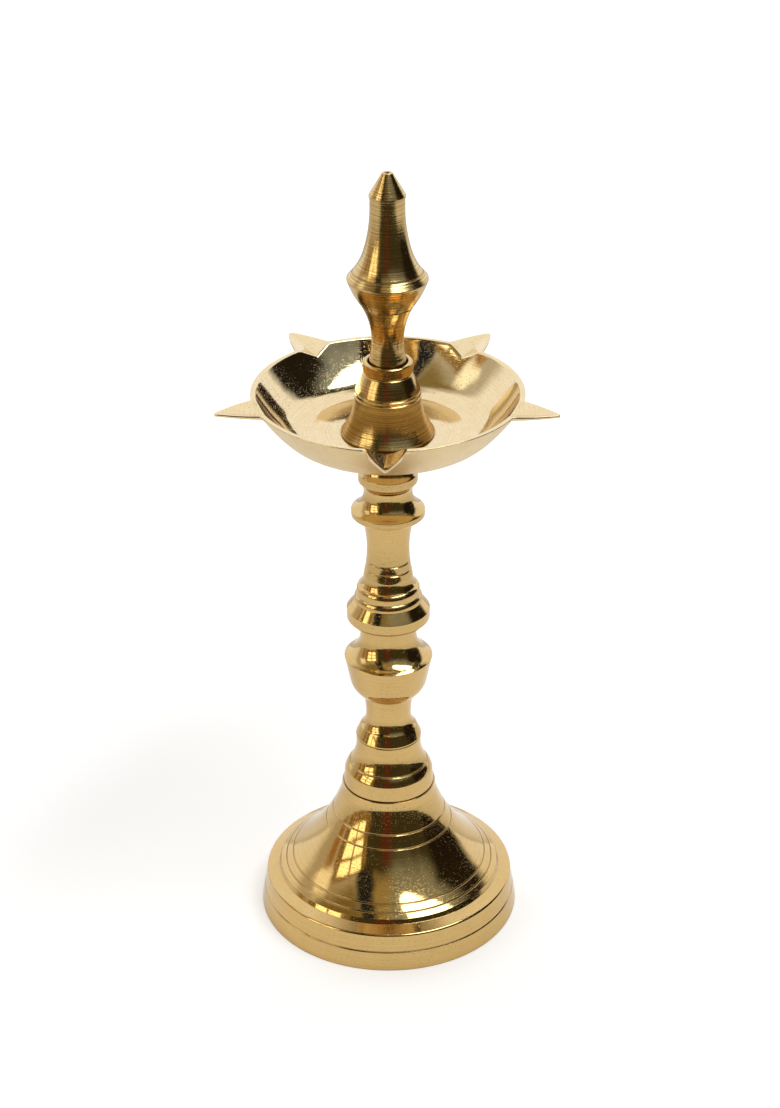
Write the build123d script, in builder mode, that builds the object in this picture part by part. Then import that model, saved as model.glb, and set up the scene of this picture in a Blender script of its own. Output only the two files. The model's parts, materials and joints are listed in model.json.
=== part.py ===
from build123d import *
import os

# Free-standing turned brass oil lamp: a hollow bell foot, a baluster stem in screwed
# sections, a shallow oil bowl with five wick spouts, a hub that clamps the bowl, and a finial.
# Millimetres, +Z up. The origin is the centre of the foot, on the surface it stands on.
# Names that end in _r are radii. Names that end in _at are heights over the seat of their
# section, the face it stands on.

# Screw joints
stud_d = 8.0
finial_stud_d = 6.0
stud_grip = 8.5
finial_grip = 7.5
stud_chamfer = 0.6
thread_gap = 0.05
pass_gap = 0.2
socket_spare = 0.5

# Turned details shared by the sections
line_depth = 0.35
edge_break = 0.3

# Base bell
foot_r = 42.2
plinth_top_r = 40.2
plinth_h = 12.4
plinth_line_h = 6.4
plinth_round = 1.0
ledge_r = 36.3
ledge_rise = 1.5
bell_foot_r = 35.6
bell_step_h = 1.4
bell_neck_r = 15.1
bell_rise = 28.9
bell_sag = 3.0
bell_neck_h = 1.8
bell_line_places = (0.06, 0.14, 0.62, 0.75)
base_wall = 3.6

# Base collar
collar_r = 14.6
collar_band_h = 2.2
collar_line_r = 12.5
collar_line_h = 8.0
collar_neck_r = 10.4
collar_neck_at = 15.2
collar_h = 17.4

# Lower stem
ring_r = 10.5
ring_edge_h = 0.7
ring_top_r = 9.15
ring_h = 3.7
neck_r = 7.2
neck_at = 8.3
cup_foot_r = 8.1
cup_foot_at = 15.8
cup_start_angle = 28.0
cup_belly_r = 12.3
cup_belly_at = 21.5
cup_r = 14.0
cup_at = 29.8
cup_lip_w = 0.6
cup_lip_h = 0.5
cup_neck_r = 8.9
cup_neck_at = 38.0
lower_h = 43.2

# Upper stem
band_foot_r = 12.4
band_r = 13.1
band_edge_h = 0.9
band_top_at = 4.0
step_two_r = 10.7
step_two_at = 7.1
step_two_edge_h = 0.6
step_one_r = 9.9
step_one_at = 9.3
step_one_edge_h = 1.5
shaft_foot_r = 8.75
shaft_foot_at = 12.6
shaft_r = 7.7
shaft_at = 16.0
shaft_line_places = (0.25, 0.55)
waist_r = 6.65
waist_at = 25.4
shaft_top_r = 8.3
upper_h = 36.6

# Top collar
disc_foot_r = 10.9
disc_r = 11.45
disc_edge_h = 0.5
disc_h = 2.2
disc_top_r = 11.0
disc_top_at = 2.6
throat_r = 7.55
throat_at = 8.3
flange_foot_r = 8.6
flange_foot_at = 11.5
flange_r = 9.2
flange_edge_h = 0.6
flange_h = 2.5
flange_top_r = 8.9
flange_top_h = 0.4
seat_neck_r = 7.3
seat_neck_at = 18.8
seat_r = 11.5
seat_band_h = 1.5
top_h = 26.8

# Oil bowl
bowl_rim_r = 41.4
bowl_wall_run = 8.4
bowl_curve_run = 9.3
bowl_curve_h = 3.9
bowl_h = 15.0
bowl_wall = 1.3
spout_count = 5
spout_clock = -90.8
spout_root_depth = 5.4
spout_root_w = 14.0
spout_root_edge_h = 1.2
spout_root_keel = 3.8
spout_mid_reach = 5.1
spout_mid_w = 8.3
spout_mid_edge_h = 0.8
spout_mid_keel = 2.2
spout_reach = 12.3
spout_tip_w = 0.9
spout_tip_edge_h = 0.5
spout_tip_keel = 0.9
spout_blend = 1.0
channel_root_w = 10.2
channel_root_depth = 3.0
channel_mid_w = 6.3
channel_mid_depth = 1.1
channel_stop = 2.0
channel_tip_w = 0.3
channel_tip_depth = 0.15

# Hub
hub_foot_r = 14.2
hub_foot_h = 0.6
hub_bell_r = 10.1
hub_bell_at = 12.9
hub_bell_sag = 1.05
hub_bead_r = 9.85
hub_bead_h = 1.2
shoulder_r = 7.4
shoulder_h = 5.9
shoulder_swell = 0.2
hub_collar_r = 7.5
hub_collar_h = 3.7
finial_recess_gap = 0.5
finial_recess_h = 1.5

# Finial
finial_foot_r = 5.6
finial_foot_h = 2.0
finial_neck_r = 4.85
finial_neck_at = 8.0
finial_line_r = 7.9
finial_line_at = 19.5
finial_cup_r = 12.2
finial_cup_at = 27.7
finial_cup_sag = 0.35
finial_edge_h = 0.4
finial_bevel_r = 10.5
finial_bevel_h = 2.0
spire_mid_r = 7.3
spire_mid_at = 36.3
spire_r = 5.25
spire_at = 50.0
tip_foot_at = 53.2
tip_lip = 0.25
tip_lip_h = 0.6
tip_r = 1.6
tip_hole_r = 0.6
tip_hole_depth = 1.2
finial_h = 60.5

# Heights of the seats, added up from the floor
base_h = plinth_h + ledge_rise + bell_step_h + bell_rise + bell_neck_h
lower_z = base_h + collar_h
upper_z = lower_z + lower_h
top_z = upper_z + upper_h
bowl_z = top_z + top_h
hub_z = bowl_z + bowl_wall
hub_bead_at = hub_bell_at + hub_bead_h
hub_top = hub_bead_at + shoulder_h + hub_collar_h
finial_seat = hub_top - finial_recess_h
finial_z = hub_z + finial_seat
finial_recess_r = finial_foot_r + finial_recess_gap

# Radii of the dish and its spouts, taken from the rim
bowl_curve_r = bowl_rim_r - bowl_wall_run
bowl_flat_r = bowl_curve_r - bowl_curve_run
spout_root_r = bowl_rim_r - spout_root_depth
spout_mid_r = bowl_rim_r + spout_mid_reach
spout_tip_r = bowl_rim_r + spout_reach

# Holes that the studs screw into or pass through
socket_r = stud_d / 2 + thread_gap
socket_h = stud_grip + socket_spare
pass_r = stud_d / 2 + pass_gap
finial_socket_r = finial_stud_d / 2 + thread_gap
finial_socket_h = finial_grip + socket_spare

UP = (0, 1)
DOWN = (0, -1)
OUT = (1, 0)


def lathe(seat):
    """Half-section plane of a turned piece: x is the radius, y the height over its seat."""
    return Plane((0, 0, seat), x_dir=(1, 0, 0), z_dir=(0, -1, 0))


def inset(curve, place, depth):
    """Point at a depth under a turned surface whose curve runs upward."""
    return curve @ place + (curve % place).rotate(Axis.Z, 90) * depth


def score(seat, spots):
    """Cut a fine V-shaped line round the piece being built at each (radius, height)."""
    with BuildSketch(lathe(seat)) as lines:
        with Locations(*spots):
            RegularPolygon(line_depth, 4)
    revolve(lines.sketch, axis=Axis.Z, mode=Mode.SUBTRACT)


def spout_plane(radius):
    """Upright plane across a spout, level with the rim and facing outward."""
    return Plane((radius, 0, bowl_z + bowl_h), x_dir=(0, 1, 0), z_dir=(1, 0, 0))


def save(builder, name):
    builder.part.label = name
    export_step(builder.part, f"parts/{name}.step")


os.makedirs("parts", exist_ok=True)

# Base bell: stepped plinth and flared bell, cast hollow under a solid crown for the stud
with BuildPart() as base_bell:
    with BuildSketch(lathe(0)) as bell_section:
        with BuildLine():
            Polyline((0, 0), (foot_r, 0), (plinth_top_r, plinth_h))
            ledge = Line((plinth_top_r, plinth_h), (ledge_r, plinth_h + ledge_rise))
            step = Line(ledge @ 1, (bell_foot_r, plinth_h + ledge_rise + bell_step_h))
            bell = SagittaArc(step @ 1, (bell_neck_r, base_h - bell_neck_h), bell_sag)
            Polyline(
                bell @ 1,
                (bell_neck_r, base_h),
                (socket_r, base_h),
                (socket_r, base_h - socket_h),
                (0, base_h - socket_h),
                (0, 0),
            )
        make_face()
        corner = bell_section.vertices().sort_by_distance((plinth_top_r, plinth_h))[0]
        fillet(corner, plinth_round)
    revolve(axis=Axis.Z)
    with BuildSketch(lathe(0)):
        with BuildLine():
            hollow = ThreePointArc(*[inset(bell, place, base_wall) for place in (0, 0.5, 1)])
            Polyline(
                hollow @ 1,
                (0, (hollow @ 1).Y),
                (0, 0),
                (foot_r - base_wall, 0),
                (plinth_top_r - base_wall, plinth_h - base_wall),
                hollow @ 0,
            )
        make_face()
        with Locations((0, base_h - socket_h - base_wall)):
            Rectangle(foot_r, base_h, align=(Align.MIN, Align.MIN), mode=Mode.SUBTRACT)
    revolve(axis=Axis.Z, mode=Mode.SUBTRACT)
    score(0, [(foot_r + (plinth_top_r - foot_r) * plinth_line_h / plinth_h, plinth_line_h)])
    score(0, [bell @ place for place in bell_line_places])
save(base_bell, "base_bell")

# Base collar: domed ring that the long stud passes through
with BuildPart() as base_collar:
    with BuildSketch(lathe(base_h)):
        with BuildLine():
            Polyline(
                (pass_r, collar_h),
                (pass_r, 0),
                (collar_r - edge_break, 0),
                (collar_r, edge_break),
                (collar_r, collar_band_h),
            )
            TangentArc((collar_r, collar_band_h), (collar_line_r, collar_line_h), tangent=UP)
            TangentArc(
                (collar_neck_r, collar_neck_at), (collar_line_r, collar_line_h), tangent=DOWN
            )
            Polyline(
                (collar_neck_r, collar_neck_at), (collar_neck_r, collar_h), (pass_r, collar_h)
            )
        make_face()
    revolve(axis=Axis.Z)
    score(base_h, [(collar_line_r, collar_line_h)])
save(base_collar, "base_collar")

# Lower stem: ring, neck and cup, with a cove under the next section
with BuildPart() as lower_stem:
    with BuildSketch(lathe(lower_z)):
        with BuildLine():
            Polyline(
                (0, socket_h),
                (socket_r, socket_h),
                (socket_r, 0),
                (ring_r - edge_break, 0),
                (ring_r, edge_break),
                (ring_r, ring_edge_h),
                (ring_top_r, ring_h),
            )
            TangentArc((neck_r, neck_at), (ring_top_r, ring_h), tangent=DOWN)
            TangentArc((neck_r, neck_at), (cup_foot_r, cup_foot_at), tangent=UP)
            TangentArc(
                (cup_foot_r, cup_foot_at),
                (cup_belly_r, cup_belly_at),
                tangent=Vector(OUT).rotate(Axis.Z, cup_start_angle),
            )
            Polyline(
                (cup_belly_r, cup_belly_at),
                (cup_r, cup_at),
                (cup_r - cup_lip_w, cup_at + cup_lip_h),
            )
            TangentArc(
                (cup_neck_r, cup_neck_at),
                (cup_r - cup_lip_w, cup_at + cup_lip_h),
                tangent=DOWN,
            )
            Polyline(
                (cup_neck_r, cup_neck_at),
                (cup_neck_r, lower_h),
                (socket_r, lower_h),
                (socket_r, lower_h - socket_h),
                (0, lower_h - socket_h),
                (0, socket_h),
            )
        make_face()
    revolve(axis=Axis.Z)
save(lower_stem, "lower_stem")

# Upper stem: big ring, two rounded steps and a waisted shaft with a pair of turned lines
with BuildPart() as upper_stem:
    with BuildSketch(lathe(upper_z)):
        with BuildLine():
            step_two = (step_two_r, step_two_at + step_two_edge_h)
            step_one = (step_one_r, step_one_at + step_one_edge_h)
            Polyline(
                (0, socket_h),
                (socket_r, socket_h),
                (socket_r, 0),
                (band_foot_r, 0),
                (band_r, band_edge_h),
                (band_r, band_top_at),
                (step_two_r, step_two_at),
                step_two,
            )
            TangentArc(step_two, (step_one_r, step_one_at), tangent=UP)
            Line((step_one_r, step_one_at), step_one)
            TangentArc(step_one, (shaft_foot_r, shaft_foot_at), tangent=UP)
            TangentArc((shaft_r, shaft_at), (shaft_foot_r, shaft_foot_at), tangent=DOWN)
            shaft = TangentArc((waist_r, waist_at), (shaft_r, shaft_at), tangent=DOWN)
            TangentArc((waist_r, waist_at), (shaft_top_r, upper_h - edge_break), tangent=UP)
            Polyline(
                (shaft_top_r, upper_h - edge_break),
                (shaft_top_r, upper_h),
                (socket_r, upper_h),
                (socket_r, upper_h - socket_h),
                (0, upper_h - socket_h),
                (0, socket_h),
            )
        make_face()
    revolve(axis=Axis.Z)
    score(upper_z, [shaft @ (1 - place) for place in shaft_line_places])
save(upper_stem, "upper_stem")

# Top collar: disc, throat, ring and the spreading seat under the bowl
with BuildPart() as top_collar:
    with BuildSketch(lathe(top_z)):
        with BuildLine():
            flange_base = flange_foot_at + flange_edge_h
            flange_top = (flange_top_r, flange_base + flange_h + flange_top_h)
            Polyline(
                (0, socket_h),
                (socket_r, socket_h),
                (socket_r, 0),
                (disc_foot_r, 0),
                (disc_r, disc_edge_h),
                (disc_r, disc_h),
                (disc_top_r, disc_top_at),
            )
            TangentArc((throat_r, throat_at), (disc_top_r, disc_top_at), tangent=DOWN)
            TangentArc((throat_r, throat_at), (flange_foot_r, flange_foot_at), tangent=UP)
            Polyline(
                (flange_foot_r, flange_foot_at),
                (flange_r, flange_base),
                (flange_r, flange_base + flange_h),
                flange_top,
            )
            TangentArc((seat_neck_r, seat_neck_at), flange_top, tangent=DOWN)
            TangentArc((seat_neck_r, seat_neck_at), (seat_r, top_h - seat_band_h), tangent=UP)
            Polyline(
                (seat_r, top_h - seat_band_h),
                (seat_r, top_h),
                (socket_r, top_h),
                (socket_r, top_h - socket_h),
                (0, top_h - socket_h),
                (0, socket_h),
            )
        make_face()
    revolve(axis=Axis.Z)
save(top_collar, "top_collar")

# Spout: leaf-shaped beak with upright edges and a keel, from inside the dish to its tip
with BuildPart() as spout:
    for radius, width, edge, keel in (
        (spout_root_r, spout_root_w, spout_root_edge_h, spout_root_keel),
        (spout_mid_r, spout_mid_w, spout_mid_edge_h, spout_mid_keel),
        (spout_tip_r, spout_tip_w, spout_tip_edge_h, spout_tip_keel),
    ):
        with BuildSketch(spout_plane(radius)):
            Polygon(
                (-width / 2, 0),
                (-width / 2, -edge),
                (0, -keel),
                (width / 2, -edge),
                (width / 2, 0),
                align=None,
            )
    loft()

# Channel: V-shaped groove for the wick, deepest where it opens into the dish
with BuildPart() as channel:
    for radius, width, depth in (
        (spout_root_r, channel_root_w, channel_root_depth),
        (spout_mid_r, channel_mid_w, channel_mid_depth),
        (spout_tip_r - channel_stop, channel_tip_w, channel_tip_depth),
    ):
        with BuildSketch(spout_plane(radius)):
            Polygon(
                (-width / 2, channel_tip_depth),
                (-width / 2, 0),
                (0, -depth),
                (width / 2, 0),
                (width / 2, channel_tip_depth),
                align=None,
            )
    loft()

# Oil bowl: round-sided dish with the beaks blended on and their channels cut through the wall
with BuildPart() as oil_bowl:
    with BuildSketch(lathe(bowl_z)):
        with BuildLine():
            Line((pass_r, 0), (bowl_flat_r, 0))
            heel = TangentArc((bowl_flat_r, 0), (bowl_curve_r, bowl_curve_h), tangent=OUT)
            wall = TangentArc(heel @ 1, (bowl_rim_r, bowl_h), tangent=heel % 1)
            Polyline(wall @ 1, (pass_r, bowl_h), (pass_r, 0))
        make_face()
    revolve(axis=Axis.Z)
    with PolarLocations(0, spout_count, start_angle=spout_clock):
        add(spout.part)
    fillet(oil_bowl.edges(Select.NEW), spout_blend)
    with BuildSketch(lathe(bowl_z)):
        with BuildLine():
            inner_heel = TangentArc((bowl_flat_r, bowl_wall), inset(heel, 1, bowl_wall), tangent=OUT)
            inner_wall = TangentArc(inner_heel @ 1, inset(wall, 1, bowl_wall), tangent=inner_heel % 1)
            Polyline(
                inner_wall @ 1,
                (bowl_rim_r, bowl_h + bowl_wall),
                (0, bowl_h + bowl_wall),
                (0, bowl_wall),
                (bowl_flat_r, bowl_wall),
            )
        make_face()
    revolve(axis=Axis.Z, mode=Mode.SUBTRACT)
    with PolarLocations(0, spout_count, start_angle=spout_clock):
        add(channel.part, mode=Mode.SUBTRACT)
save(oil_bowl, "oil_bowl")

# Hub: flared bell foot, one bead, shoulder and a collar bored to take the foot of the finial
with BuildPart() as hub:
    with BuildSketch(lathe(hub_z)):
        with BuildLine():
            Polyline(
                (0, socket_h),
                (socket_r, socket_h),
                (socket_r, 0),
                (hub_foot_r, 0),
                (hub_foot_r, hub_foot_h),
            )
            SagittaArc((hub_foot_r, hub_foot_h), (hub_bell_r, hub_bell_at), hub_bell_sag)
            Line((hub_bell_r, hub_bell_at), (hub_bead_r, hub_bead_at))
            SagittaArc((hub_bead_r, hub_bead_at), (shoulder_r, hub_bead_at + shoulder_h), -shoulder_swell)
            Polyline(
                (shoulder_r, hub_bead_at + shoulder_h),
                (hub_collar_r, hub_bead_at + shoulder_h),
                (hub_collar_r, hub_top - edge_break),
                (hub_collar_r - edge_break, hub_top),
                (finial_recess_r, hub_top),
                (finial_recess_r, finial_seat),
                (finial_socket_r, finial_seat),
                (finial_socket_r, finial_seat - finial_socket_h),
                (0, finial_seat - finial_socket_h),
                (0, socket_h),
            )
        make_face()
    revolve(axis=Axis.Z)
    score(
        hub_z,
        [
            (hub_bell_r, hub_bell_at),
            (hub_bead_r, hub_bead_at),
            (hub_collar_r, hub_bead_at + shoulder_h),
        ],
    )
save(hub, "hub")

# Finial: slim neck, flared cup with a bevelled edge, hollow-sided spire and a pointed tip
with BuildPart() as finial:
    with BuildSketch(lathe(finial_z)):
        with BuildLine():
            cup_edge = (finial_cup_r, finial_cup_at + finial_edge_h)
            bevel_top = (finial_bevel_r, finial_cup_at + finial_edge_h + finial_bevel_h)
            Polyline(
                (0, finial_socket_h),
                (finial_socket_r, finial_socket_h),
                (finial_socket_r, 0),
                (finial_foot_r, 0),
                (finial_foot_r, finial_foot_h),
            )
            TangentArc(
                (finial_neck_r, finial_neck_at), (finial_foot_r, finial_foot_h), tangent=DOWN
            )
            TangentArc(
                (finial_neck_r, finial_neck_at), (finial_line_r, finial_line_at), tangent=UP
            )
            SagittaArc(
                (finial_line_r, finial_line_at), (finial_cup_r, finial_cup_at), -finial_cup_sag
            )
            Polyline((finial_cup_r, finial_cup_at), cup_edge, bevel_top)
            spire = TangentArc((spire_r, spire_at), (spire_mid_r, spire_mid_at), tangent=DOWN)
            TangentArc(spire @ 1, bevel_top, tangent=spire % 1)
            Polyline(
                (spire_r, spire_at),
                (spire_r, tip_foot_at),
                (spire_r + tip_lip, tip_foot_at),
                (spire_r + tip_lip, tip_foot_at + tip_lip_h),
                (tip_r, finial_h),
                (tip_hole_r, finial_h),
                (tip_hole_r, finial_h - tip_hole_depth),
                (0, finial_h - tip_hole_depth),
                (0, finial_socket_h),
            )
        make_face()
    revolve(axis=Axis.Z)
    score(finial_z, [(finial_line_r, finial_line_at), bevel_top])
save(finial, "finial")

# Studs: plain rods at the size of their screw threads, each from its lower to its upper end
studs = {
    "base_stud": (stud_d, base_h - stud_grip, lower_z + stud_grip),
    "mid_stud": (stud_d, upper_z - stud_grip, upper_z + stud_grip),
    "top_stud": (stud_d, top_z - stud_grip, top_z + stud_grip),
    "bowl_stud": (stud_d, bowl_z - stud_grip, hub_z + stud_grip),
    "finial_stud": (finial_stud_d, finial_z - finial_grip, finial_z + finial_grip),
}
for stud_name, (diameter, low, high) in studs.items():
    with BuildPart(Plane.XY.offset(low)) as stud:
        Cylinder(diameter / 2, high - low, align=(Align.CENTER, Align.CENTER, Align.MIN))
        chamfer(stud.edges().filter_by(GeomType.CIRCLE), stud_chamfer)
    save(stud, stud_name)
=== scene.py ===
import json
import math

import bpy
import numpy as np
from mathutils import Euler, Matrix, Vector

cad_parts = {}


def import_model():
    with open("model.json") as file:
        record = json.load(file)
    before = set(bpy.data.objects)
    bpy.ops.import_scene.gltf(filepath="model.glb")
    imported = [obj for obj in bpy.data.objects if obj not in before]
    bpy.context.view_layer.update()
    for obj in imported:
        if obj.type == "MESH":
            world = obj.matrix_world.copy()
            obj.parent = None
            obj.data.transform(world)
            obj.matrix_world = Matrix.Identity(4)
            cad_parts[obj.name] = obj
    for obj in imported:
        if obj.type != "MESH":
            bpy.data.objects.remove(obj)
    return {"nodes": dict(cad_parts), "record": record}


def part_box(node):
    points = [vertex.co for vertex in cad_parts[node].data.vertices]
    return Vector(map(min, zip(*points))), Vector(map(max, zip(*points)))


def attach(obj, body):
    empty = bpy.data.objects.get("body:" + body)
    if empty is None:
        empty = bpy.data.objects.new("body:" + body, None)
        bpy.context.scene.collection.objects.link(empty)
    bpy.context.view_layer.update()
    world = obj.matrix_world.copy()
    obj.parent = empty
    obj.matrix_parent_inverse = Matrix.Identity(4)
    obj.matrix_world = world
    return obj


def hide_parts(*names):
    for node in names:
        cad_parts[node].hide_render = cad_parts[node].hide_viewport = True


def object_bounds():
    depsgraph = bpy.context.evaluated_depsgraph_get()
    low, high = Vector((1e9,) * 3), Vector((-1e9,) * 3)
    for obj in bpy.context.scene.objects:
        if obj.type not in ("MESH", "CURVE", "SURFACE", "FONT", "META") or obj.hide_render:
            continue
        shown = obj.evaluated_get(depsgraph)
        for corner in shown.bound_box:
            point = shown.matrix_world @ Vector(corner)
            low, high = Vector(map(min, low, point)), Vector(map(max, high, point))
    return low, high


# Looks of a turned brass oil lamp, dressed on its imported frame. Metres, +Z up, turning axis on Z.
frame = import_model()
cad_low, cad_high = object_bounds()

MM = 0.001

# Turned surfaces
ROUND_STEPS = 192                      # facets round the axis
EDGE_ROUND = 0.22 * MM                 # polished-over corner of a turned edge
SHARP_TURN = math.radians(20)          # a larger turn of the outline is a real corner
ARC_STEP = math.radians(9)             # most that one facet of a rounded corner turns
CORNER_ROOM = 0.45                     # share of a straight run that one rounded corner may use
CUT_ANGLE = 1e-4                       # turn of the plane that reads a section, clear of the mesh's seam
WELD = 1e-7                            # vertices this near to each other are one
FLAT = 4e-7                            # a point this near to a straight run is left out of an outline


def welded(mesh):
    """The places of a mesh without doubles, and for each vertex the number of its place."""
    corners = np.array([v.co[:] for v in mesh.vertices])
    spots, number = np.unique(np.round(corners / WELD).astype(int), axis=0, return_inverse=True)
    return spots * WELD, number.ravel()


def cut_edges(mesh, number, above):
    """Each edge that the cutting plane crosses, with the crossed edges beside it."""
    mesh.calc_loop_triangles()
    beside = {}
    for triangle in mesh.loop_triangles:
        a, b, c = (int(number[i]) for i in triangle.vertices)
        cut = [(min(p, q), max(p, q)) for p, q in ((a, b), (b, c), (c, a)) if above[p] != above[q]]
        if len(cut) == 2:
            beside.setdefault(cut[0], []).append(cut[1])
            beside.setdefault(cut[1], []).append(cut[0])
    return beside


def walks(beside):
    """The crossed edges in runs from neighbour to neighbour."""
    left = dict.fromkeys(beside)
    while left:
        walk = [next(iter(left))]
        del left[walk[0]]
        while step := [edge for edge in beside[walk[-1]] if edge in left]:
            walk.append(step[0])
            del left[step[0]]
        yield walk


def half_section(outline):
    """The half of an outline on the cut's own side of the axis, with its ends on the axis."""
    outside = outline[:, 0] > 0
    start = int(np.argmax(outside & ~np.roll(outside, 1)))
    half = np.roll(outline, -start, 0)[: outside.sum()]
    return np.concatenate([[(0, half[0, 1])], half, [(0, half[-1, 1])]])


def cut_section(node):
    """Radius and height along the outline of a turned node, up the outside, and whether it closes."""
    mesh = frame["nodes"][node].data
    spots, number = welded(mesh)
    outward = (math.cos(CUT_ANGLE), math.sin(CUT_ANGLE), 0)
    side = spots @ (-math.sin(CUT_ANGLE), math.cos(CUT_ANGLE), 0)
    outlines = []
    for walk in walks(cut_edges(mesh, number, side > 0)):
        low, high = np.array(walk).T
        share = (side[low] / (side[low] - side[high]))[:, None]
        cut_at = spots[low] + (spots[high] - spots[low]) * share
        outlines.append(np.stack([cut_at @ outward, cut_at[:, 2]], 1))
    outline = max(outlines, key=lambda points: points[:, 0].max())
    ahead = np.roll(outline, -1, 0)
    if (outline[:, 0] * ahead[:, 1] - ahead[:, 0] * outline[:, 1]).sum() < 0:
        outline = outline[::-1]
    closed = outline[:, 0].min() > 0
    return thinned(outline if closed else half_section(outline), closed), closed


def thinned(points, closed):
    """The same outline without the points that lie on a straight run."""
    kept = []
    count = len(points)
    for i, point in enumerate(points):
        if not closed and i in (0, count - 1):
            kept.append(point)
            continue
        back = kept[-1] if kept else points[i - 1]
        ahead = points[(i + 1) % count] - back
        reach = np.hypot(*ahead)
        offset = point - back
        if np.hypot(*offset) > FLAT and abs(ahead[0] * offset[1] - ahead[1] * offset[0]) > FLAT * reach:
            kept.append(point)
    return np.array(kept)


def rounded(points, closed, radius):
    """The outline with its real corners rounded over."""
    out = []
    count = len(points)
    for i, point in enumerate(points):
        u, v = points[i - 1] - point, points[(i + 1) % count] - point
        lengths = np.hypot(*u), np.hypot(*v)
        u, v = u / lengths[0], v / lengths[1]
        turn = math.pi - math.acos(np.clip(u @ v, -1, 1))
        if turn < SHARP_TURN or (not closed and i in (0, count - 1)):
            out.append(point)
            continue
        cut = min(radius * math.tan(turn / 2), CORNER_ROOM * min(lengths))
        bisector = (u + v) / np.hypot(*(u + v))
        centre = point + bisector * cut / math.sin(turn / 2)
        way = math.copysign(turn, u[1] * v[0] - u[0] * v[1])
        start = point + u * cut - centre
        steps = max(2, math.ceil(turn / ARC_STEP))
        for angle in np.linspace(0, way, steps + 1):
            c, s = math.cos(angle), math.sin(angle)
            out.append(centre + (c * start[0] - s * start[1], s * start[0] + c * start[1]))
    return np.array(out)


def slopes(outline, closed):
    """Unit directions along an outline."""
    ahead, back = np.roll(outline, -1, 0), np.roll(outline, 1, 0)
    if not closed:
        ahead[-1], back[0] = outline[-1], outline[0]
    slope = ahead - back
    return slope / np.hypot(*slope.T)[:, None]


def mesh_piece(name, places, faces, marks, normals=None, uv=None):
    """A smooth mesh object. marks is each vertex's place across the turning marks, in millimetres."""
    mesh = bpy.data.meshes.new(name)
    mesh.from_pydata(places, [], faces)
    mesh.shade_smooth()
    mesh.attributes.new("marks", "FLOAT", "POINT").data.foreach_set("value", marks.astype(np.float32))
    if uv is not None:
        mesh.uv_layers.new(name="OFBake").uv.foreach_set("vector", uv.astype(np.float32).ravel())
    if normals is not None:
        mesh.normals_split_custom_set_from_vertices(normals)
    piece = bpy.data.objects.new(name, mesh)
    bpy.context.scene.collection.objects.link(piece)
    return piece


def ring_faces(rows, columns, row_closed):
    """Quads of a grid that closes round the axis, and their places on its unrolled map."""
    row = np.arange(rows if row_closed else rows - 1)
    column = np.arange(columns)
    i, j = (a.ravel() for a in np.meshgrid(row, column, indexing="ij"))
    i2, j2 = (i + 1) % rows, (j + 1) % columns
    faces = np.stack([i * columns + j, i * columns + j2, i2 * columns + j2, i2 * columns + j], 1)
    spots = np.stack([np.stack(p, 1) for p in ((j, i), (j + 1, i), (j + 1, i + 1), (j, i + 1))], 1)
    return faces, spots


def end_fans(rows, low, high):
    """Triangles that close a turned wall's two ends, and their places on its unrolled map.

    The two end points come after the wall's places. low and high are the map heights of its end rows.
    """
    ring = np.arange(ROUND_STEPS)
    after = (ring + 1) % ROUND_STEPS
    top, first, last = (rows - 1) * ROUND_STEPS, rows * ROUND_STEPS, rows * ROUND_STEPS + 1
    faces = np.concatenate([np.stack([ring * 0 + first, after, ring], 1),
                            np.stack([top + ring, top + after, ring * 0 + last], 1)])
    left, middle, right = ((ring + share) / ROUND_STEPS for share in (0, 0.5, 1))
    fans = ((middle, 0), (right, low), (left, low)), ((left, high), (right, high), (middle, 1))
    uv = [np.stack([np.stack([u, u * 0 + v], 1) for u, v in fan], 1) for fan in fans]
    return faces, np.concatenate(uv).reshape(-1, 2)


def revolved(across, up):
    """Rows of places or directions round the axis, from each row's distance across and height."""
    turn = np.arange(ROUND_STEPS) * 2 * math.pi / ROUND_STEPS
    c, s = np.cos(turn), np.sin(turn)
    return np.stack([np.outer(across, c), np.outer(across, s), np.outer(up, c * 0 + 1)], 2).reshape(-1, 3)


def turned(name, node):
    """A finely faceted lathe surface on the section of a CAD node, with its corners polished over."""
    outline, closed = cut_section(node)
    outline = rounded(outline, closed, EDGE_ROUND)
    run = np.concatenate([[0], np.cumsum(np.hypot(*np.diff(outline, axis=0).T))])
    loop = run[-1] + (np.hypot(*(outline[0] - outline[-1])) if closed else 0)
    wall = slice(None) if closed else slice(1, -1)
    radius, height = outline[wall].T
    slope_r, slope_z = slopes(outline, closed)[wall].T
    places, normals = revolved(radius, height), revolved(slope_z, -slope_r)
    marks = np.repeat(run[wall], ROUND_STEPS)
    quads, spots = ring_faces(len(radius), ROUND_STEPS, closed)
    faces = quads.tolist()
    map_heights = np.append(run[wall], loop) / loop
    uv = np.stack([spots[..., 0] / ROUND_STEPS, map_heights[spots[..., 1]]], 2).reshape(-1, 2)
    if not closed:
        fans, fan_uv = end_fans(len(radius), map_heights[0], map_heights[-2])
        faces += fans.tolist()
        uv = np.concatenate([uv, fan_uv])
        places = np.concatenate([places, [(0, 0, outline[0, 1]), (0, 0, outline[-1, 1])]])
        normals = np.concatenate([normals, [(0, 0, -1), (0, 0, 1)]])
        marks = np.append(marks, (run[0], run[-1]))
    return mesh_piece(name, places, faces, marks / MM, normals, uv)


# Screw threads
STEM_PITCH, FINIAL_PITCH = 1.25 * MM, 1.0 * MM
THREAD_DEPTH = 0.6134                  # of the pitch, on a metric outside thread
THREAD_COLUMNS = 48                    # facets round the axis
THREAD_ROWS = 14                       # rows of facets in one pitch
CREST_END, ROOT_START = 1 / 16, 3 / 8  # where a flank begins and ends, in pitches from the crest's middle
STUD_CHAMFER = 0.9 * MM


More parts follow.
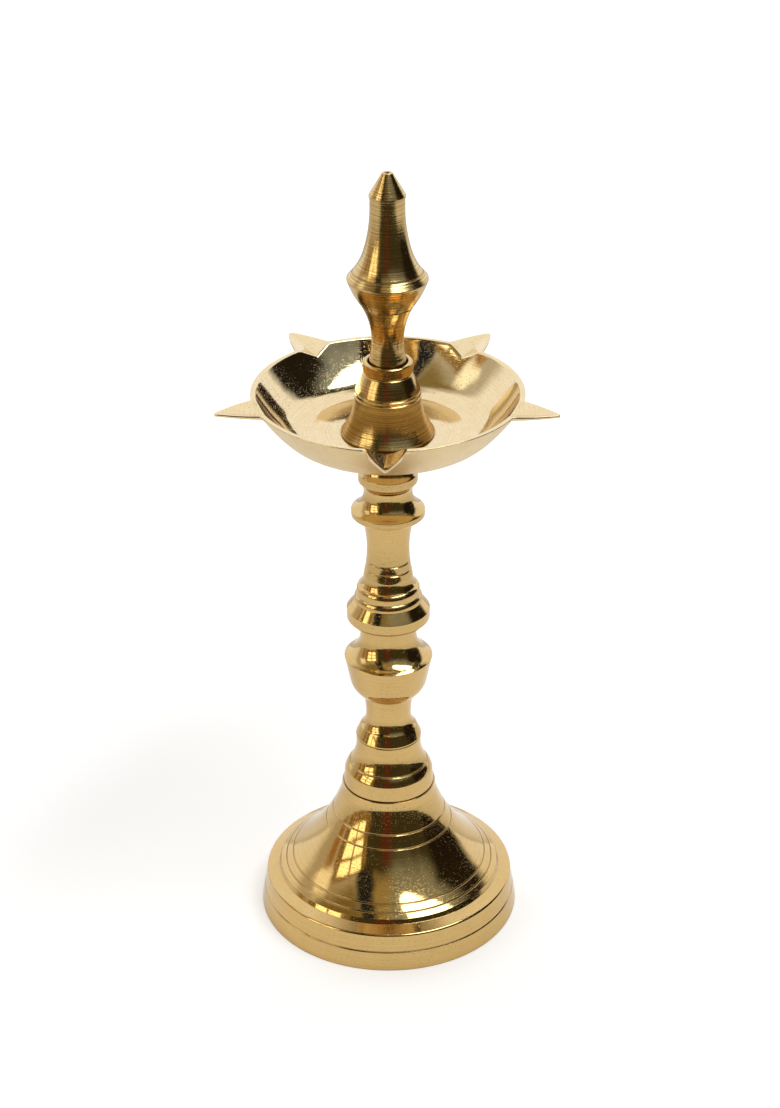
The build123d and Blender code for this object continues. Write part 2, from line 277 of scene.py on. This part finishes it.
def threaded(name, node, pitch):
    """A stud with a right-hand thread cut over its whole length."""
    low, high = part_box(node)
    radius = (high.x - low.x) / 2
    heights = np.linspace(low.z, high.z, int((high.z - low.z) / pitch * THREAD_ROWS))
    turn = np.arange(THREAD_COLUMNS) * 2 * math.pi / THREAD_COLUMNS
    z, angle = np.meshgrid(heights, turn, indexing="ij")
    phase = np.abs((z / pitch - angle / (2 * math.pi) + 0.5) % 1 - 0.5)
    cut = np.clip((phase - CREST_END) / (ROOT_START - CREST_END), 0, 1) * THREAD_DEPTH * pitch
    end = np.minimum(z - low.z, high.z - z)
    reach = np.minimum(radius - cut, radius - STUD_CHAMFER + end)
    places = np.stack([reach * np.cos(angle), reach * np.sin(angle), z], 2).reshape(-1, 3)
    rows = len(heights)
    faces = ring_faces(rows, THREAD_COLUMNS, False)[0].tolist()
    faces.append(list(range(THREAD_COLUMNS))[::-1])
    faces.append([(rows - 1) * THREAD_COLUMNS + j for j in range(THREAD_COLUMNS)])
    return mesh_piece(name, places, faces, places[:, 2] / MM)


# Oil bowl, in millimetres over its seat
BOWL_RIM_R = 41.4
BOWL_CURVE_R = BOWL_RIM_R - 8.4        # where the wall starts
BOWL_FLAT_R = BOWL_CURVE_R - 9.3       # where the level floor ends
BOWL_CURVE_H = 3.9
BOWL_WALL = 1.3
BOWL_HOLE_R = 4.2
LIP_ROUND = 0.45
SPOUT_COUNT = 5
SPOUT_CLOCK = math.radians(-90.8)
SPOUT_PLACES = (36.0, 46.5, 53.7)      # radii of a spout's root, middle and tip
SPOUT_WIDTHS = (14.0, 8.3, 0.9)
SPOUT_EDGES = (1.2, 0.8, 0.5)          # thickness at the sides of a spout
SPOUT_KEELS = (3.8, 2.2, 0.9)          # thickness along its middle
CHANNEL_PLACES = (36.0, 46.5, 51.7)
CHANNEL_WIDTHS = (10.2, 6.3, 0.3)
CHANNEL_DEPTHS = (3.0, 1.1, 0.15)
SPOUT_BLEND = 1.2                      # how far a spout's underside blends into the bowl
SPOUT_SWEEP = 1.6                      # how far the rim sweeps into the sides of a spout
CHANNEL_EDGE = 0.35                    # rounding along the channel
SPOUT_REACH = math.radians(15)         # half-angle of the finely divided part round a spout
SPOUT_CROWD = 1.5                      # how much closer the columns stand towards the spout's middle
SPOUT_COLUMNS = 84
RIM_COLUMNS = 20                       # columns between two spouts
INSIDE_ROWS = (14, 18, 20, 34)         # rows of facets over floor, curve, wall and lip
UNDERSIDE_ROWS = (10, 16, 40)          # and over floor, curve and wall
CORNER_STEPS = 4                       # and round each corner of the edge
NO_SURFACE = 1e3                       # a height that is too far off to count


def smooth_min(a, b, blend):
    """The lower of two heights, with a rounded change from one to the other."""
    share = np.clip(0.5 + 0.5 * (b - a) / blend, 0, 1)
    return b + (a - b) * share - blend * share * (1 - share)


def dish(radius, depth, rim_h):
    """Height of the bowl at a depth under its outside: level floor, an arc off it, an arc on to the rim."""
    run, rise = BOWL_CURVE_R - BOWL_FLAT_R, BOWL_CURVE_H
    slope = 2 * math.atan2(rise, run)
    heel_r = (run**2 + rise**2) / (2 * rise)
    run, rise = BOWL_RIM_R - BOWL_CURVE_R, rim_h - BOWL_CURVE_H
    wall_r = math.hypot(run, rise) / (2 * math.sin(math.atan2(rise, run) - slope))
    wall_x, wall_z = BOWL_CURVE_R - wall_r * math.sin(slope), BOWL_CURVE_H + wall_r * math.cos(slope)

    def arc(x, z, bend):
        return z - np.sqrt(np.maximum((bend - depth) ** 2 - (radius - x) ** 2, 0))

    heel = np.where(radius < BOWL_FLAT_R, depth, arc(BOWL_FLAT_R, heel_r, heel_r))
    return np.where(radius < BOWL_CURVE_R - depth * math.sin(slope), heel, arc(wall_x, wall_z, wall_r))


def along(places, sizes):
    """A size that changes smoothly along a spout, through its sizes at three places."""
    return np.poly1d(np.polyfit(places, sizes, 2))


def spout_reach(angle):
    """Distance from the axis to the bowl's outer edge, at an angle from the middle of a spout."""
    bend, slope, start = along(SPOUT_PLACES, SPOUT_WIDTHS).coeffs
    bend, slope = bend * np.cos(angle) ** 2, slope * np.cos(angle) - 2 * np.abs(np.sin(angle))
    meets = slope**2 - 4 * bend * start
    side = np.where(meets > 0, (-slope - np.sqrt(np.maximum(meets, 0))) / (2 * bend), 0)
    beak = smooth_min(side, SPOUT_PLACES[-1] + side * 0, SPOUT_WIDTHS[-1])
    return -smooth_min(-beak, -BOWL_RIM_R + side * 0, SPOUT_SWEEP)


def bowl_heights(radius, angle, rim_h):
    """Upper and lower surface of the bowl at a radius and an angle from the middle of the nearest spout."""
    out, across = radius * np.cos(angle), np.abs(radius * np.sin(angle))
    soft = np.sqrt(across**2 + CHANNEL_EDGE**2) - CHANNEL_EDGE
    spout_sizes = SPOUT_WIDTHS, SPOUT_EDGES, SPOUT_KEELS
    width, edge, keel = (along(SPOUT_PLACES, sizes)(out) for sizes in spout_sizes)
    beak = rim_h - edge - (keel - edge) * (1 - 2 * soft / np.maximum(width, SPOUT_WIDTHS[-1]))
    beak = np.where(across < width / 2 + SPOUT_SWEEP, beak, NO_SURFACE)
    under = smooth_min(dish(radius, 0, rim_h), beak, SPOUT_BLEND)
    width, depth = (along(CHANNEL_PLACES, sizes)(out) for sizes in (CHANNEL_WIDTHS, CHANNEL_DEPTHS))
    cut = rim_h - depth * (1 - 2 * soft / np.maximum(width, CHANNEL_WIDTHS[-1]))
    groove = np.where(out < CHANNEL_PLACES[-1], cut, NO_SURFACE)
    over = smooth_min(dish(radius, BOWL_WALL, rim_h), rim_h + radius * 0, LIP_ROUND)
    return smooth_min(over, groove, CHANNEL_EDGE), under


def bowl_columns():
    """Angles of the columns of facets round the axis, and from the middle of the nearest spout."""
    fine = np.linspace(-1, 1, SPOUT_COLUMNS + 1)
    near = np.sign(fine) * np.abs(fine) ** SPOUT_CROWD * SPOUT_REACH
    sector = 2 * math.pi / SPOUT_COUNT
    far = np.linspace(SPOUT_REACH, sector - SPOUT_REACH, RIM_COLUMNS + 1)[1:-1]
    offsets = np.concatenate([near, far])
    turn = np.concatenate([SPOUT_CLOCK + sector * k + offsets for k in range(SPOUT_COUNT)])
    return turn, np.tile(np.where(offsets > sector / 2, offsets - sector, offsets), SPOUT_COUNT)


def row_radii(stops, counts):
    """Radii of rows of facets that divide each column between its stops, and end on the last stop."""
    spans = [start + (end - start) * np.linspace(0, 1, count + 1)[:-1, None]
             for start, end, count in zip(stops, stops[1:], counts)]
    return np.concatenate([*spans, stops[-1][None]])


def bowl_skin(angle, rim_h):
    """Radii and heights of all rows: out along the underside, round the edge and back in over the inside."""
    corner = min(LIP_ROUND, SPOUT_EDGES[-1]) / 2
    last = spout_reach(angle) - corner
    lip_r = BOWL_RIM_R - BOWL_WALL - LIP_ROUND
    hole, flat, curve, lip = (radius * np.ones_like(angle)
                              for radius in (BOWL_HOLE_R, BOWL_FLAT_R, BOWL_CURVE_R, lip_r))
    top_r = row_radii([hole, flat, curve, lip, last], INSIDE_ROWS)
    low_r = row_radii([hole, flat, curve, last], UNDERSIDE_ROWS)
    top_z = bowl_heights(top_r, angle, rim_h)[0]
    low_z = bowl_heights(low_r, angle, rim_h)[1]
    bend = np.linspace(0, math.pi / 2, CORNER_STEPS + 1)[1:, None]
    side_r = [last + corner * np.sin(bend), last + corner * np.cos(bend[:-1])]
    side_z = [top_z[-1] - corner * (1 - np.cos(bend)), low_z[-1] + corner * (1 - np.sin(bend[:-1]))]
    radius = np.concatenate([low_r, side_r[1][::-1], side_r[0][::-1], top_r[::-1]])
    height = np.concatenate([low_z, side_z[1][::-1], side_z[0][::-1], top_z[::-1]])
    return radius, height


def bowl_piece(name, node):
    """The bowl as one closed skin, with its underside marked as satin."""
    low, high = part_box(node)
    turn, angle = bowl_columns()
    radius, height = bowl_skin(angle, (high.z - low.z) / MM)
    places = np.stack([radius * np.cos(turn), radius * np.sin(turn), height], 2).reshape(-1, 3) * MM
    places[:, 2] += low.z
    faces = ring_faces(len(radius), len(turn), True)[0].tolist()
    piece = mesh_piece(name, places, faces, radius.ravel() + height.ravel())
    under = np.repeat(np.arange(len(radius)) <= sum(UNDERSIDE_ROWS), len(turn)).astype(np.float32)
    piece.data.attributes.new("satin", "FLOAT", "POINT").data.foreach_set("value", under)
    return piece


# Shader nodes
def node_maker(tree):
    """A function that adds a node to a tree, with its inputs given as sockets or as constants."""
    def node(kind, inputs=(), **settings):
        made = tree.nodes.new(kind)
        for key, value in settings.items():
            setattr(made, key, value)
        for key, value in dict(inputs).items():
            if isinstance(value, bpy.types.NodeSocket):
                tree.links.new(value, made.inputs[key])
            else:
                made.inputs[key].default_value = value
        return made
    return node


def new_material(name):
    """A material with its standard shader, and the function that adds nodes to it."""
    material = bpy.data.materials.new(name)
    material.use_nodes = True
    return material, node_maker(material.node_tree)


def calculate(node, operation, *values):
    return node("ShaderNodeMath", enumerate(values), operation=operation).outputs[0]


def ranged(node, value, low, high, start=0.0, end=1.0, **settings):
    """A value between start and end, mapped to between low and high."""
    spans = {"Value": value, "From Min": start, "From Max": end, "To Min": low, "To Max": high}
    return node("ShaderNodeMapRange", spans, **settings).outputs["Result"]


def mix_colours(node, share, below, above):
    """A share of one colour over another. The mix node keeps its colour sockets after its other kinds."""
    return node("ShaderNodeMix", {0: share, 6: below, 7: above}, data_type="RGBA").outputs[2]


def attribute(node, name):
    return node("ShaderNodeAttribute", attribute_name=name).outputs["Fac"]


def noise(node, place, size, detail):
    inputs = {"Vector": place, "Scale": 1 / size, "Detail": detail}
    return node("ShaderNodeTexNoise", inputs).outputs["Fac"]


def bumped(node, height, distance, normal=None, **settings):
    """A normal bent by a height, on top of another bent normal if there is one."""
    below = {"Normal": normal} if normal else {}
    inputs = {"Distance": distance, "Height": height, **below}
    return node("ShaderNodeBump", inputs, **settings).outputs["Normal"]


# Materials
STAIN_SIZE, STAIN_DETAIL = 4.0 * MM, 5.0
STAIN_SHARE = 0.5                      # most that the warmer tone covers
SPECK_SIZE, SPECK_DETAIL = 0.4 * MM, 2.0
PIT_START, PIT_FULL = 0.62, 0.72       # levels of the speck noise at the edge and floor of a pit
PIT_SHADE, PIT_ROUGH, PIT_DEPTH = 0.45, 0.35, 0.03 * MM
WAVES = ((14.0 * MM, 0.05 * MM), (2.5 * MM, 0.006 * MM))   # spans and heights of the hand polishing
WAVE_DETAIL = 2.0
RING_LOW, RING_HIGH = 0.35, 0.65       # levels of the ring noise in the grooves and on the crests
RING_DETAIL = 3.0
MARK_ROUGH = 1.5                       # roughness that each millimetre of height in turning marks adds
SATIN_ROUGH = 0.30                     # roughness that the unpolished outside of the bowl adds
ROUGH_SPREAD = (0.5, 2.0)              # least and most of a finish's own roughness
CREVICE = 1.4 * MM                     # how wide the corners are that keep old polish and are darkened with painted shade
CREVICE_DEEP, CREVICE_OPEN = 0.35, 0.80    # shares of open air where the old polish and painted shade are thickest, and where they end
CREVICE_SAMPLES = 4
CREVICE_ROUGH = 0.25
# colour of the painted shade in corners, which also stands for the grime of old polish there
CORNER_SHADE_AND_GRIME = (0.16, 0.08, 0.02, 1)


def brass_patterns(node, place, pitch, grain):
    """Where the metal has rings, stains, pits, a satin skin, and corners with old polish and painted shade,
    as shares of one.
    """
    across = calculate(node, "DIVIDE", attribute(node, "marks"), pitch)
    rings = node("ShaderNodeTexNoise", {"W": across, "Scale": 1.0, "Detail": RING_DETAIL},
                 noise_dimensions="1D")
    specks = noise(node, place, SPECK_SIZE, SPECK_DETAIL)
    air = node("ShaderNodeAmbientOcclusion", {"Distance": CREVICE}, samples=CREVICE_SAMPLES)
    return {
        "rings": rings.outputs["Fac"],
        "stain": noise(node, place, STAIN_SIZE, STAIN_DETAIL),
        "pits": ranged(node, specks, 0.0, grain, PIT_START, PIT_FULL),
        "satin": attribute(node, "satin"),
        # ambient occlusion: painted shade in the colour's corners, and old polish in their roughness
        "crevice": ranged(node, air.outputs["AO"], 1.0, 0.0, CREVICE_DEEP, CREVICE_OPEN),
    }


def brass_colour(node, pattern, colour, warm, tint):
    """The metal's colour, warmer in stains, darkened in corners by painted shade, and darker in the rings and
    pits.
    """
    tone = mix_colours(node, ranged(node, pattern["stain"], 0.0, STAIN_SHARE), (*colour, 1), (*warm, 1))
    # painted shade: corners darken by ambient occlusion, also standing for the grime of old polish
    tone = mix_colours(node, pattern["crevice"], tone, CORNER_SHADE_AND_GRIME)
    lines = ranged(node, pattern["rings"], 1.0 - tint, 1.0, RING_LOW, RING_HIGH)
    shade = calculate(node, "MULTIPLY", lines, ranged(node, pattern["pits"], 1.0, PIT_SHADE))
    return node("ShaderNodeHueSaturation", {"Color": tone, "Value": shade}).outputs["Color"]


def brass_roughness(node, pattern, rough, marks):
    worn = ranged(node, pattern["stain"], *(rough * share for share in ROUGH_SPREAD))
    added = {"rings": marks * MARK_ROUGH, "pits": PIT_ROUGH, "satin": SATIN_ROUGH, "crevice": CREVICE_ROUGH}
    for name, most in added.items():
        worn = calculate(node, "ADD", worn, ranged(node, pattern[name], 0.0, most))
    return worn


def brass_relief(node, place, pattern, marks):
    """Turning marks, the slow unevenness of hand polishing, and pits."""
    normal = bumped(node, pattern["rings"], marks * MM)
    for span, height in WAVES:
        normal = bumped(node, noise(node, place, span, WAVE_DETAIL), height, normal)
    return bumped(node, pattern["pits"], PIT_DEPTH, normal, invert=True)


def brass(name, colour, warm, rough, marks, pitch, tint, grain):
    """Brass in a main tone and a warmer one.

    marks is the height of the turning marks and pitch their spacing, both in millimetres.
    tint is how much the marks darken the metal, and grain the share of fine pits and dull spots.
    """
    material, node = new_material(name)
    place = node("ShaderNodeTexCoord").outputs["Object"]
    pattern = brass_patterns(node, place, pitch, grain)
    shader = material.node_tree.nodes["Principled BSDF"]
    shader.inputs["Metallic"].default_value = 1.0
    looks = {"Base Color": brass_colour(node, pattern, colour, warm, tint),
             "Roughness": brass_roughness(node, pattern, rough, marks),
             "Normal": brass_relief(node, place, pattern, marks)}
    for socket, value in looks.items():
        material.node_tree.links.new(value, shader.inputs[socket])
    return material


PALE, BRIGHT, GOLD = (0.86, 0.69, 0.41), (0.78, 0.54, 0.22), (0.71, 0.49, 0.20)
AMBER, BROWN = (0.60, 0.37, 0.12), (0.5, 0.3, 0.1)
finishes = {
    "polished_brass": brass("polished_brass", GOLD, AMBER,
                            rough=0.06, marks=0.004, pitch=0.5, tint=0.08, grain=0.5),
    "bowl_brass": brass("bowl_brass", PALE, GOLD,
                        rough=0.04, marks=0.006, pitch=0.6, tint=0.06, grain=0.4),
    "turned_brass": brass("turned_brass", BRIGHT, GOLD,
                          rough=0.11, marks=0.026, pitch=0.5, tint=0.35, grain=0.3),
    "thread_brass": brass("thread_brass", AMBER, BROWN,
                          rough=0.25, marks=0.010, pitch=0.3, tint=0.20, grain=0.3),
}

# The lamp's pieces, each in place of its CAD node
bodies = {node: body for body, nodes in frame["record"]["behaviour"]["bodies"].items() for node in nodes}
slots = {part["node"]: part["material_slot"] for part in frame["record"]["subparts"]}
for node in frame["nodes"]:
    name = node + "_turned"
    if node.endswith("_stud"):
        piece = threaded(name, node, FINIAL_PITCH if node == "finial_stud" else STEM_PITCH)
    elif node == "oil_bowl":
        piece = bowl_piece(name, node)
    else:
        piece = turned(name, node)
    piece.data.materials.append(finishes[slots[node]])
    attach(piece, bodies[node])
    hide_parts(node)


# Studio: white paper under and behind the lamp, and on the camera's side a dim room with a window
FLOOR_X, FLOOR_FRONT, FLOOR_BACK = 1.0, -0.40, 1.6
FLOOR_PAPER = 0.8                      # how much of the light the paper returns
FLOOR_ROUGH = 0.9
FLOOR_NEAR, FLOOR_FAR = 0.12, 0.40     # distances from the lamp over which its own glow changes
FLOOR_SEEN = (0.39, 0.62)              # that glow for the camera, near and far
FLOOR_MIRRORED = (0.26, 0.08)          # and for reflections
WHITE = (1, 1, 1, 1)
BACKDROP = (1.10, 1.13, 1.22, 1)
ROOM_RAGGED = 7.0                      # most degrees that things in the room stray from straight edges
ROOM_GRAIN, ROOM_DETAIL = 0.2, 4.0     # size of that straying, as a share of the room's radius
# Each thing in the room: azimuths and elevations it covers, softness of its edges, and colour.
# Angles are in degrees. Azimuth 0 is on the camera's side and 90 on the right.
ALL_ROUND = (-400, 400)
ROOM = {
    "ceiling": (ALL_ROUND, (68, 100), 8, (0.38, 0.33, 0.24, 1)),
    "dim room": ((-52, 122), (-100, 100), 6, (0.058, 0.054, 0.030, 1)),
    "left wall": ((-116, -48), (-25, 100), 8, (0.58, 0.55, 0.50, 1)),
    "left corner": ((-100, -48), (46, 100), 8, (0.26, 0.20, 0.08, 1)),
    "door post": ((-97, -89), (-6, 40), 3, (0.42, 0.22, 0.05, 1)),
    "white shelf": ((-101, -86), (28, 44), 4, (1.4, 1.4, 1.3, 1)),
    "window frame": ((-84, -38), (-2, 40), 2, (0.30, 0.19, 0.06, 1)),
    "figure": ((-47, -24), (38, 70), 4, (0.016, 0.022, 0.034, 1)),
    "curtain": ((-13, 6), (-20, 36), 3, (0.12, 0.038, 0.022, 1)),
    "beam": ((-24, 10), (44, 100), 6, (0.42, 0.35, 0.18, 1)),
    "pale wall": ((4, 100), (33, 100), 11, (0.30, 0.34, 0.36, 1)),
    "doorway": ((70, 120), (-16, 44), 7, (0.018, 0.014, 0.010, 1)),
}
WINDOW = (-61, 20)                     # azimuth and elevation of its middle
WINDOW_COLUMNS, WINDOW_ROWS = 2, 3
PANE_W, PANE_H, PANE_BAR = 0.68, 0.50, 0.12
PANE_LEVEL, PANE_TONE = 2.2, (1, 0.97, 0.78)
ROOM_LAMP = (58, 61)                   # azimuth and elevation of an oval lamp in the room
ROOM_LAMP_SIZE, ROOM_LAMP_LEVEL = (2.4, 0.95), 6.5
FAR_OFF = 3.0                          # distance of window and lamp


def floor():
    """White paper that takes the lamp's shadow, with a glow of its own for the camera and for reflections."""
    mesh = bpy.data.meshes.new("floor")
    corners = [(x, y, 0) for x, y in ((-FLOOR_X, FLOOR_FRONT), (FLOOR_X, FLOOR_FRONT),
                                      (FLOOR_X, FLOOR_BACK), (-FLOOR_X, FLOOR_BACK))]
    mesh.from_pydata(corners, [], [(0, 1, 2, 3)])
    piece = bpy.data.objects.new("floor", mesh)
    bpy.context.scene.collection.objects.link(piece)
    material, node = new_material("floor")
    tree = material.node_tree
    paper = tree.nodes["Principled BSDF"]
    paper.inputs["Base Color"].default_value = (FLOOR_PAPER, FLOOR_PAPER, FLOOR_PAPER, 1)
    paper.inputs["Roughness"].default_value = FLOOR_ROUGH
    paper.inputs["Specular IOR Level"].default_value = 0.0
    path = node("ShaderNodeLightPath").outputs
    place = node("ShaderNodeTexCoord").outputs["Object"]
    away = node("ShaderNodeVectorMath", {0: place}, operation="LENGTH").outputs["Value"]
    seen, mirrored = (ranged(node, away, *levels, FLOOR_NEAR, FLOOR_FAR)
                      for levels in (FLOOR_SEEN, FLOOR_MIRRORED))
    seen = calculate(node, "MULTIPLY", path["Is Camera Ray"], seen)
    mirrored = calculate(node, "MULTIPLY", path["Is Glossy Ray"], mirrored)
    glow = node("ShaderNodeEmission", {"Strength": calculate(node, "ADD", seen, mirrored)})
    both = node("ShaderNodeAddShader", {0: paper.outputs[0], 1: glow.outputs[0]})
    tree.links.new(both.outputs[0], tree.nodes["Material Output"].inputs["Surface"])
    mesh.materials.append(material)


def world():
    """White behind the lamp, the dim room in front of it, and plain white for the camera itself."""
    made = bpy.data.worlds.new("studio")
    bpy.context.scene.world = made
    made.use_nodes = True
    tree = made.node_tree
    node = node_maker(tree)

    def after(value, at, softness):
        """0 before an edge and 1 after it, with a soft change."""
        return ranged(node, value, 0.0, 1.0, at - softness, at + softness, interpolation_type="SMOOTHSTEP")

    def between(value, span, softness):
        start, end = (after(value, at, softness) for at in span)
        return calculate(node, "SUBTRACT", start, end)

    place = node("ShaderNodeTexCoord").outputs["Generated"]
    x, y, z = node("ShaderNodeSeparateXYZ", {0: place}).outputs
    stray = ranged(node, noise(node, place, ROOM_GRAIN, ROOM_DETAIL), -ROOM_RAGGED, ROOM_RAGGED)
    bearing = calculate(node, "ARCTAN2", x, calculate(node, "MULTIPLY", y, -1.0))
    azimuth, elevation = (calculate(node, "ADD", calculate(node, "DEGREES", angle), stray)
                          for angle in (bearing, calculate(node, "ARCSINE", z)))
    colour = BACKDROP
    for azimuths, elevations, softness, shade in ROOM.values():
        cover = calculate(node, "MULTIPLY", between(azimuth, azimuths, softness),
                          between(elevation, elevations, softness))
        colour = mix_colours(node, cover, colour, shade)
    colour = mix_colours(node, node("ShaderNodeLightPath").outputs["Is Camera Ray"], colour, WHITE)
    tree.links.new(colour, tree.nodes["Background"].inputs["Color"])


def softbox(name, aim, size, level, colour=(1, 1, 1), shift=(0, 0), shape="RECTANGLE"):
    """An area light far off that faces the lamp from an azimuth and elevation. level is its brightness."""
    azimuth, elevation = aim
    light = bpy.data.lights.new(name, "AREA")
    light.shape = shape
    light.size, light.size_y = size
    light.color = colour
    fill = math.pi / 4 if shape == "ELLIPSE" else 1
    light.energy = level * size[0] * size[1] * fill * math.pi
    piece = bpy.data.objects.new(name, light)
    tilt = Matrix.Rotation(math.radians(90 - elevation), 4, "X")
    turn = Matrix.Rotation(math.radians(azimuth), 4, "Z") @ tilt
    middle = Matrix.Translation((cad_low + cad_high) / 2)
    piece.matrix_world = middle @ turn @ Matrix.Translation((*shift, FAR_OFF))
    piece.visible_camera = False
    bpy.context.scene.collection.objects.link(piece)


def lights():
    """The panes of the window, and the oval lamp."""
    for column in range(WINDOW_COLUMNS):
        for row in range(WINDOW_ROWS):
            shift = ((column - (WINDOW_COLUMNS - 1) / 2) * (PANE_W + PANE_BAR),
                     (row - (WINDOW_ROWS - 1) / 2) * (PANE_H + PANE_BAR))
            softbox(f"pane_{column}_{row}", WINDOW, (PANE_W, PANE_H), PANE_LEVEL, PANE_TONE, shift)
    softbox("lamp", ROOM_LAMP, ROOM_LAMP_SIZE, ROOM_LAMP_LEVEL, shape="ELLIPSE")


# Camera, fitted to the round edges in the photograph
PHOTO_H = 1108                         # pixels in the photograph's longer side
FOCAL_PX = 2546.2                      # focal length in those pixels
SENSOR = 36.0
CAMERA_AT = (0.57 * MM, -696.0 * MM, 506.9 * MM)
CAMERA_PITCH = math.radians(90 - 28.49)
CAMERA_ROLL = math.radians(-0.11)


def camera():
    """The photograph's view. The sensor's width lies along the picture's longer side."""
    data = bpy.data.cameras.new("camera")
    data.sensor_width = SENSOR
    data.lens = FOCAL_PX / PHOTO_H * SENSOR
    piece = bpy.data.objects.new("camera", data)
    turn = Euler((CAMERA_PITCH, 0, 0)).to_matrix().to_4x4() @ Matrix.Rotation(CAMERA_ROLL, 4, "Z")
    piece.matrix_world = Matrix.Translation(CAMERA_AT) @ turn
    bpy.context.scene.collection.objects.link(piece)
    bpy.context.scene.camera = piece


floor()
world()
lights()
camera()
bpy.context.scene.view_settings.view_transform = "Standard"
